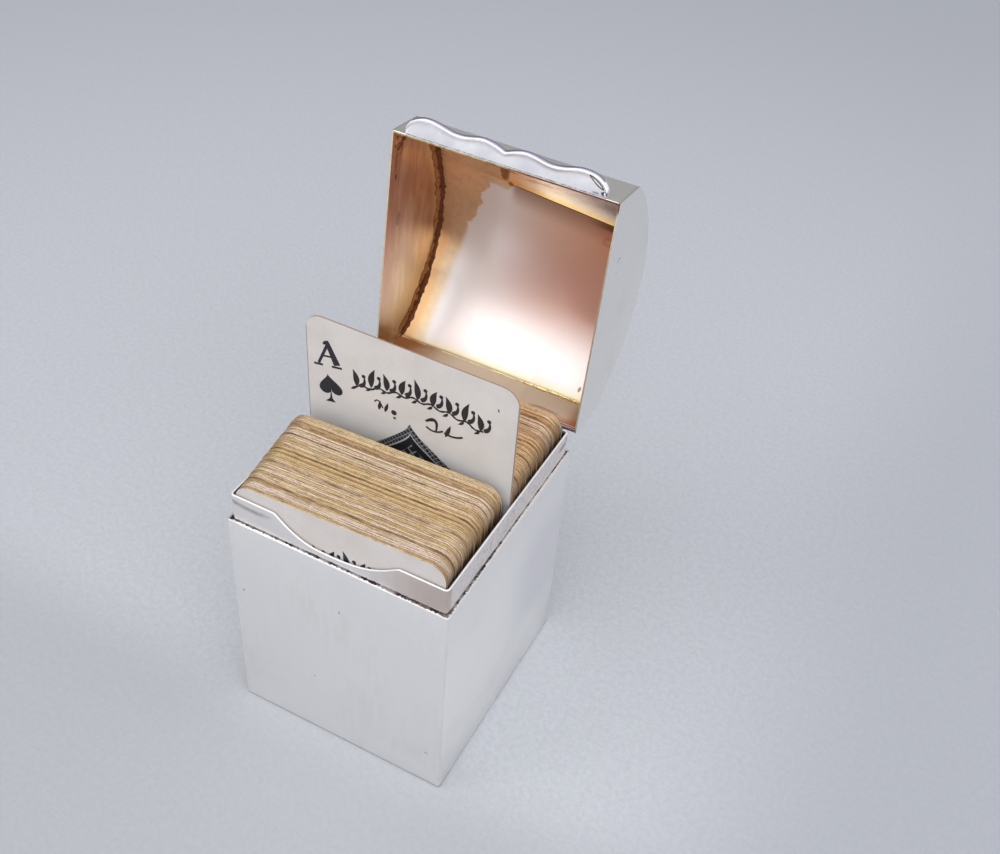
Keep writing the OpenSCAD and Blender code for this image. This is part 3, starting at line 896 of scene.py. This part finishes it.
# Painted light on the bead: its upper side gets a darker lavender silver as painted shade, and where it
# turns to the front a white, less metallic finish as painted highlight.
bead_back = silver("bead_back", light=(184, 178, 204), soil=(150, 146, 172), gloss=0.24).material
bead_front = Finish("bead_front", Metallic=0.3, Roughness=0.35).material
thumbpiece = piece("thumbpiece_ledge", thumb_points, thumb_faces, [thumb_finish(), bead_back, bead_front],
                   "lid", sharp=50, choose=ledge_choice)
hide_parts("thumbpiece")

# Packs: old cards with gilt edges, cut a little unequal and rubbed to pink paper in places.
# Each suit is one run of like cards, laid out from a single card.
CARD_W, CARD_H, CARD_T, CARD_R = 31.4, 44.45, 0.262, 2.6
PITCH = 0.305
CARD_FOOT = 0.5
SUIT = 13
PACK = 4 * SUIT


def card_outline(width, height, radius, cuts=7):
    """Points round a card that stands on its short edge, seen from the front."""
    line = []
    for corner in range(4):
        x, z = (width / 2 - radius) * (1, 1, -1, -1)[corner], (height / 2 - radius) * (-1, 1, 1, -1)[corner]
        for i in range(cuts + 1):
            angle = -pi / 2 + corner * pi / 2 + i / cuts * pi / 2
            line.append((x + radius * cos(angle), z + radius * sin(angle)))
    return line


def card_mesh(name):
    """One card with softened edges, its front at y = 0 and its middle at the origin."""
    rings = [(0.03, 0.0), (0.0, 0.05), (0.0, CARD_T - 0.05), (0.03, CARD_T)]
    points = []
    for inset, y in rings:
        outline = card_outline(CARD_W - 2 * inset, CARD_H - 2 * inset, CARD_R - inset)
        points += [(x, y, z) for x, z in outline]
    mesh = solid_mesh(name, points, tube_faces(len(rings), len(outline)), 40)
    across = mesh.attributes.new("across_edge", "FLOAT", "POINT")
    across.data.foreach_set("value", [i // len(outline) / (len(rings) - 1) for i in range(len(points))])
    return mesh


def run_of_cards():
    """Geometry Nodes that lay out a run of cards, uneven in height and a little shifted sideways."""
    cards = Nodes(bpy.data.node_groups.new("run_of_cards", "GeometryNodeTree"))
    face = cards.tree.interface
    for name, kind in (("Card", "Geometry"), ("Count", "Int"), ("First", "Int"), ("Pitch", "Float"),
                       ("Front", "Float"), ("Unevenness", "Float"), ("Shift", "Float"), ("Drift", "Float"),
                       ("Slope", "Float"), ("Fan", "Float"), ("Rise", "Float"), ("Edge", "Material"),
                       ("Paper", "Material")):
        face.new_socket(name, in_out="INPUT", socket_type="NodeSocket" + kind)
    face.new_socket("Pack", in_out="OUTPUT", socket_type="NodeSocketGeometry")
    given = {way.name: Pattern(cards, way) for way in cards.tree.nodes.new("NodeGroupInput").outputs}
    number = cards.node("GeometryNodeInputIndex", {}) + given["First"]

    def chance(low, high, salt):
        inputs = {"ID": number, "Seed": salt, 2: low, 3: high}
        return cards.node("FunctionNodeRandomValue", inputs, output=1, data_type="FLOAT")

    def vector(x, y, z):
        return cards.node("CombineXYZ", {0: x, 1: y, 2: z})

    run = cards.node("GeometryNodeMeshLine", {"Count": given["Count"], "Offset": (0, 0, 0)})
    height = chance(-0.5, 0.5, 3) * given["Unevenness"] - given["Unevenness"]
    aside = chance(-1.0, 1.0, 5) * given["Shift"] + number / PACK * given["Drift"]
    place = vector(aside, given["Front"] + number * given["Pitch"], height)
    run = cards.node("GeometryNodeSetPosition", {"Geometry": run, "Position": place})
    for name, value in (("card_tone", chance(0.0, 1.0, 11)), ("card_number", number)):
        run = cards.node("GeometryNodeStoreNamedAttribute", {"Geometry": run, "Name": name, "Value": value},
                         data_type="FLOAT", domain="POINT")
    run = cards.node("GeometryNodeInstanceOnPoints", {"Points": run, "Instance": given["Card"]})
    run = cards.node("GeometryNodeRealizeInstances", {"Geometry": run})
    place = cards.node("GeometryNodeInputPosition", {})
    x, y, z = cards.apart(place)
    risen = z / (CARD_H * MM) + 0.5
    deep = (y - given["Front"]) / (given["Pitch"] * PACK)
    left = 0.5 - x / (CARD_W * MM)
    swell = cards.node("TexNoise", {"Vector": place, "Scale": 60.0, "Detail": 2.0})
    bow = (swell - 0.5) * 0.00035 * (deep * 6.0).at_most(1.0)
    lean = x * given["Slope"] * (1.0 - deep * 0.8)
    climb = deep * (left * 0.75 + 0.25) * given["Rise"]
    bent = vector(0.0, bow - deep * left * given["Fan"], (lean + climb) * risen)
    run = cards.node("GeometryNodeSetPosition", {"Geometry": run, "Offset": bent})
    run = cards.node("GeometryNodeSetMaterial", {"Geometry": run, "Material": given["Edge"]})
    facing = cards.apart(cards.node("GeometryNodeInputNormal", {}))[1]
    flat = {"Geometry": run, "Selection": abs(facing) > 0.75, "Material": given["Paper"]}
    run = cards.node("GeometryNodeSetMaterial", flat)
    cards.feed(cards.tree.nodes.new("NodeGroupOutput").inputs[0], run)
    return cards.tree


def card_edges(name, rubbed_share, gold_light, gold_dark):
    """Gilt card edges: flecked gold leaf, rubbed to pinkish paper in places, with painted shade in broken
    gaps between the cards, on a few sunk cards, towards the pack's ends and beside the collar.
    """
    finish = Finish(name)
    card, across = finish.stored("card_tone"), finish.stored("across_edge")
    askew = (0.7, 0.4, 0.9)
    long_streak = finish.streaks((0.1, 3.2, 0.1), askew, roughness=0.6)
    streak = finish.streaks((0.8, 5.0, 0.8), askew, detail=4.0, roughness=0.75)
    fleck = finish.streaks((5.0, 11.0, 5.0), askew, detail=4.0, roughness=0.85)
    dirt = finish.streaks((1.3, 7.0, 1.3), askew, (31, 7, 3), detail=5.0, roughness=0.85)
    other = (card * 7.13).fract()
    patchy = finish.cloud(7.0)
    worn = (card + long_streak + streak) * 0.5 + fleck * 0.36
    bare = worn.span(rubbed_share, rubbed_share + 0.14)
    grain = finish.cloud(0.16, detail=2.0, roughness=0.8)
    shade = other * 0.24 + (fleck + patchy) * 0.38
    gold = finish.mix(shade.span(0.38, 0.62), gold_light, gold_dark)
    gold = finish.mix(grain.span(0.42, 0.66, 0.0, 0.4), gold, (148, 112, 74))
    paper = finish.mix(fleck.span(0.38, 0.62), (212, 188, 172), (250, 236, 226))
    finish.colour = finish.mix(bare * 0.9, gold, paper)
    finish.paint(dirt.span(0.54, 0.62, 0.0, 0.7), (112, 82, 54))
    broken = finish.streaks((0.4, 3.1, 0.4), shift=(3, 11, 5), detail=4.0, roughness=0.7)
    # Painted shade: the edges of a few sunk cards are painted dark in broken runs, and a dark line is
    # painted where each card meets the next.
    sunk_card_shade = other.span(0.86, 0.9) * broken.span(0.4, 0.58, 0.1, 0.75)
    painted_gap_shade = abs(across - 0.5).span(0.14, 0.36) * broken.span(0.46, 0.6, 0.1, 0.9)
    finish.paint(sunk_card_shade.at_least(painted_gap_shade), (78, 54, 36))
    x, _, z = finish.apart(finish.place)
    # Painted shade: darker towards both ends of the pack, and near-black painted shadow low beside the
    # collar at the right and left ends.
    finish.paint(abs(x).span(13.3, 15.4, 0.0, 0.36), (124, 86, 56))
    collar_shadow = x.span(13.0, 15.2) * z.span(COLLAR_TOP - 0.4, COLLAR_TOP + 2.2, 0.9, 0.0)
    finish.paint(collar_shadow, (46, 28, 22))
    left_collar_shadow = x.fall(-15.5, -15.2) * z.span(COLLAR_TOP, COLLAR_TOP + 1.0, 0.8, 0.0)
    finish.paint(left_collar_shadow, (46, 28, 22))
    return finish.lay(Metallic=(1.0 - bare) * 0.45, Roughness=fleck.span(0.3, 0.7, 0.4, 0.62),
                      Normal=finish.bump(fleck + streak, 0.02))


def card_paper(name, light, aged, inner_cards=False, lower_shade_and_side_line=False):
    """Smooth card stock, a little mottled and foxed. Inside a pack only a brown line of it shows."""
    finish = Finish(name, Roughness=0.55, Specular_IOR_Level=0.35)
    cloud = finish.cloud(6.0, detail=5.0, roughness=0.6)
    fibre = finish.cloud(0.35, roughness=0.7)
    finish.colour = finish.mix(cloud.span(0.35, 0.7), light, aged)
    finish.paint(fibre.span(0.5, 0.75) * 0.25, (196, 190, 180))
    finish.paint(finish.specks(2.6, 0.1) * 0.5, (140, 116, 92))
    if lower_shade_and_side_line:
        # Painted shade: the card darkens towards its foot; a dark line also runs down both its sides.
        x, _, z = finish.apart(finish.place)
        finish.paint(z.span(40, 54, 0.7, 0.0), (212, 210, 208))
        finish.paint(abs(x).span(CARD_W / 2 - 0.17, CARD_W / 2 - 0.1, 0.0, 0.7), (86, 68, 60))
    if inner_cards:
        number = finish.stored("card_number")
        finish.paint((number > 0.5) * (number < PACK - 1.5), (184, 148, 104))
    return finish.lay(Normal=finish.bump(fibre, 0.008))


front_edges = card_edges("front_pack_edges", 0.99, (240, 214, 162), (206, 172, 126))
rear_edges = card_edges("rear_pack_edges", 1.04, (255, 220, 166), (224, 178, 130))
paper = card_paper("pack_paper", (219, 213, 210), (212, 204, 198), True)
card_tree = run_of_cards()
one_card = card_mesh("one_card")
FRONT_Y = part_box("front_spades")[0].y / MM
REAR_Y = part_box("rear_spades")[0].y / MM
PACKS = (("front", FRONT_Y, (("spades", SUIT), ("hearts", SUIT), ("diamonds", SUIT), ("clubs", SUIT)),
          front_edges, {"Slope": 0.045, "Fan": 1.9 * MM, "Drift": -0.5 * MM, "Rise": 1.5 * MM}),
         ("rear", REAR_Y, (("spades", SUIT - 1), ("hearts", SUIT), ("diamonds", SUIT), ("clubs", SUIT),
                           ("joker", 1)),
          rear_edges, {"Slope": 0.0, "Fan": 0.0, "Drift": -0.15 * MM, "Rise": 0.0}))


def input_name(tree, label):
    """The identifier of a tree's input."""
    for item in tree.interface.items_tree:
        if item.name == label and item.in_out == "INPUT":
            return item.identifier


for pack, front, suits, edges, lay in PACKS:
    first = 0
    for suit, count in suits:
        name = pack + "_" + suit
        run = in_scene(name + "_run", one_card.copy())
        modifier = run.modifiers.new("run", "NODES")
        modifier.node_group = card_tree
        sizes = {"Count": count, "First": first, "Pitch": PITCH * MM, "Front": front * MM, "Edge": edges,
                 "Unevenness": 0.13 * MM, "Shift": 0.12 * MM, "Paper": paper, **lay}
        for label, value in sizes.items():
            modifier[input_name(card_tree, label)] = value
        bpy.context.view_layer.update()
        made = bpy.data.meshes.new_from_object(run.evaluated_get(bpy.context.evaluated_depsgraph_get()))
        made.name = name + "_cards"
        bpy.data.objects.remove(run)
        made.transform(Matrix.Translation((0, 0, (CARD_FOOT + CARD_H / 2) * MM)))
        cards = in_scene(name + "_cards", made)
        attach(cards, "case")
        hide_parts(name)
        first += count

# Drawn card: the ace of the second pack, which stands up between the packs as the lid opens.
# Its back has a small rosy lattice, as plain playing cards of the time have.
low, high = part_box("drawn_card")


def slanting_waves(finish, pitch):
    """Two sets of waves that cross on the slant."""
    slant, _, other_slant = finish.apart(finish.turned(turn=(0, pi / 4, 0)))
    return [abs((way * pitch).sine()) for way in (slant, other_slant)]


def card_back():
    finish = Finish("card_back", Roughness=0.5)
    first, second = slanting_waves(finish, 2.6)
    red = first.at_most(second).fall(0.2, 0.3).at_least((first * second).span(0.8, 0.88))
    across, _, up = finish.apart(finish.place)
    beside, above = abs(across) - CARD_W / 2, abs(up - (low.z + high.z) / (2 * MM)) - CARD_H / 2
    red = red * (beside.at_least(above) + 1.3).fall(-0.05, 0.05)
    finish.colour = finish.mix(red, (232, 208, 200), (168, 70, 62))
    return finish.lay()


def card_choice(centre, normal):
    """0 on the card's face, 1 on its back, 2 on its edge."""
    return 1 if normal.y > 0.75 else 2 * (normal.y > -0.75)


drawn_paper = card_paper("drawn_paper", (223, 218, 214), (214, 209, 205), lower_shade_and_side_line=True)
drawn_edge = Finish("drawn_edge", (176, 150, 136), Metallic=0.3, Roughness=0.5).material
drawn_middle = Vector((0, low.y, (low.z + high.z) / 2))
drawn_points = [(v.co + drawn_middle) / MM for v in one_card.vertices]
drawn = piece("drawn_card_sheet", drawn_points, [tuple(face.vertices) for face in one_card.polygons],
              [drawn_paper, card_back(), drawn_edge], "drawn_card", sharp=40,
              choose=card_choice)
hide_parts("drawn_card")

# Printing: black ink on the drawn card, and the same on the first card of the front pack.
# The index and its pip are plain, the rest is leaf and scroll work of the printer's stock kind.
INK = 0.012
CARD_FACE_Y = low.y / MM


def swept(path, widths):
    """Outline of a pen stroke along a path, as wide at each point as it is given there."""
    left, right = [], []
    for i, (x, z) in enumerate(path):
        run, half = heading(path, i), widths[i] / 2
        left.append((x - run.y * half, z + run.x * half))
        right.append((x + run.y * half, z - run.x * half))
    return left + right[::-1]


def leaf(foot, tip, width, lean=0.0, cuts=8):
    """A pointed leaf between two places."""
    foot, tip = Vector(foot), Vector(tip)
    run = tip - foot
    side = Vector((-run.y, run.x)).normalized()
    line = [foot + run * (i / cuts) + side * lean * sin(pi * i / cuts) for i in range(cuts + 1)]
    wide = [width * max(0.06, sin(pi * (i / cuts) ** 0.8)) for i in range(cuts + 1)]
    return swept([tuple(p) for p in line], wide)


def dot(x, z, radius, cuts=12):
    return [(x + radius * cos(2 * pi * i / cuts), z + radius * sin(2 * pi * i / cuts)) for i in range(cuts)]


def spade(middle, half, height, turn, cuts=14):
    """Outline of a spade pip without its foot, from its tip round by the left."""
    side = []
    for i in range(cuts + 1):
        t = i / cuts
        side.append((half * (0.12 * t + 0.95 * sin(pi / 2 * t) ** 1.5), height * (1 - t)))
    lobe = [(half * (0.53 + 0.54 * cos(-pi * i / 10)), half * 0.5 * sin(-pi * i / 10)) for i in range(1, 10)]
    right = side + lobe
    outline = right + [(0.05 * half, half * 0.12)] + [(-x, z) for x, z in right[::-1]][:-1]
    return [(middle[0] + x * cos(turn) - z * sin(turn), middle[1] + x * sin(turn) + z * cos(turn))
            for x, z in outline]


def inked(name, shapes, face_y, drop, slope, body, finishes):
    """Thin flat shapes on a card's front. Each shape is an outline and the number of its finish."""
    points, faces, finish_of = [], [], []
    for k, (outline, finish) in enumerate(shapes):
        first = len(points)
        n = len(outline)
        front = face_y - INK - 0.0004 * k
        points += [(x, y, z - drop + slope * x) for y in (front, face_y) for x, z in outline]
        faces += [tuple(range(first, first + n)), tuple(range(first + 2 * n - 1, first + n - 1, -1))]
        faces += [(first + i, first + (i + 1) % n, first + n + (i + 1) % n, first + n + i)
                  for i in range(n)]
        finish_of += [finish] * (n + 2)
    made = piece(name, points, faces, finishes, body, sharp=20)
    for face, finish in zip(made.data.polygons, finish_of):
        face.material_index = finish
    return made


def arch(x):
    """Height of the arched line that the scroll work stands on."""
    return 53.3 - 0.0155 * (x - 2.6) ** 2


def black(*outlines):
    """Shapes filled with plain black ink."""
    return [(outline, 0) for outline in outlines]


index_a = black(swept([(-12.3, 56.9), (-13.85, 53.1)], [0.45, 0.4]),
                swept([(-12.45, 57.1), (-10.95, 53.75)], [0.7, 1.1]),
                swept([(-13.4, 54.55), (-11.4, 54.9)], [0.3, 0.3]),
                swept([(-14.6, 52.75), (-13.2, 53.0)], [0.35, 0.35]),
                swept([(-11.8, 53.25), (-10.2, 53.55)], [0.35, 0.35]),
                leaf((-13.1, 56.5), (-12.2, 57.4), 0.5))
pip = black(spade((-12.05, 49.3), 1.75, 2.4, 0.2),
            [(-12.05, 49.3), (-12.25, 47.6), (-12.95, 46.85), (-11.35, 47.15), (-11.85, 47.7)])
vine = [(x, arch(x) + 0.25 * sin(2.4 * x)) for x in (-8.6 + 0.4 * i for i in range(50))]
garland = black(swept(vine, [0.22 + 0.14 * sin(1.7 * i) ** 2 for i in range(50)]))
TENDRIL = [0.5, 0.62, 0.66, 0.62, 0.55, 0.5, 0.45, 0.4, 0.34, 0.28, 0.2]
for k in range(9):
    x = -8.0 + 2.32 * k
    z = arch(x)
    side = 1 if k % 2 else -1
    tall = 3.3 if k % 3 == 1 else 2.7
    garland += black(leaf((x, z + 0.1), (x + 0.5 * side, z + tall), 0.95, 0.25 * side),
                     swept(curve((x + 0.5, z + 0.3), (x + 1.5, z + 0.7), (x + 1.25, z + 1.9)), TENDRIL),
                     dot(x + 1.15, z + 2.15, 0.3), leaf((x - 0.1, z), (x - 0.9, z - 0.75), 0.42, 0.1))
FLOURISH = [0.3, 0.4, 0.5, 0.55, 0.55, 0.5, 0.45, 0.4, 0.36, 0.3, 0.24]
sprigs = black(swept(curve((-5.2, 50.2), (-4.6, 51.3), (-3.9, 49.6)), [0.2] * 11),
               leaf((-4.5, 49.1), (-4.3, 50.7), 0.5), leaf((-3.6, 49.1), (-3.1, 50.8), 0.5),
               dot(-2.2, 49.6, 0.42), dot(-2.1, 48.7, 0.2),
               swept(curve((2.6, 50.4), (4.6, 52.2), (4.2, 49.4)), FLOURISH),
               swept(curve((2.7, 49.5), (3.9, 48.7), (5.2, 49.8)), [0.28] * 11),
               leaf((5.6, 49.0), (6.3, 51.2), 0.6),
               swept(curve((5.4, 49.6), (6.9, 49.2), (8.1, 50.1)), [0.3] * 11))
large_spade = [(spade((1.0, at), half, height, 0.07), finish) for at, half, height, finish in
               ((37.6, 9.6, 11.1, 1), (37.9, 8.1, 9.3, 2), (38.1, 7.8, 8.8, 0), (38.7, 5.8, 6.6, 3))]
large_spade += black([(0.8, 37.4), (0.4, 33.6), (-2.6, 31.4), (5.0, 31.8), (1.9, 33.8), (1.4, 37.4)])
mark = black(swept([(12.85, 57.1), (12.95, 56.7)], [0.14, 0.14]))


def ink(name, body_tone, pattern_tone=None, pitch=1.0):
    finish = Finish(name, Roughness=0.5)
    grain = finish.cloud(0.3, roughness=0.7)
    finish.colour = finish.mix(grain.span(0.55, 0.75, 0.0, 0.35), body_tone, (92, 90, 92))
    if pattern_tone:
        first, second = slanting_waves(finish, pitch)
        finish.paint((grain * 0.5 + first.at_most(second)).fall(0.42, 0.6), pattern_tone)
    return finish.lay()


inks = [ink("black_ink", (28, 27, 34)), ink("flecked_ink", (34, 34, 42), (150, 152, 152), 5.2),
        ink("pale_line", (196, 198, 196)), ink("lattice_ink", (30, 30, 38), (170, 172, 170), 3.1)]
printed = index_a + pip + garland + sprigs + large_spade
inked("drawn_card_print", printed + mark, CARD_FACE_Y, 0, 0, "drawn_card", inks)
front_drop = low.z / MM - CARD_FOOT + 0.2
inked("front_card_print", index_a + pip + garland, FRONT_Y, front_drop, 0.04, "case", inks)
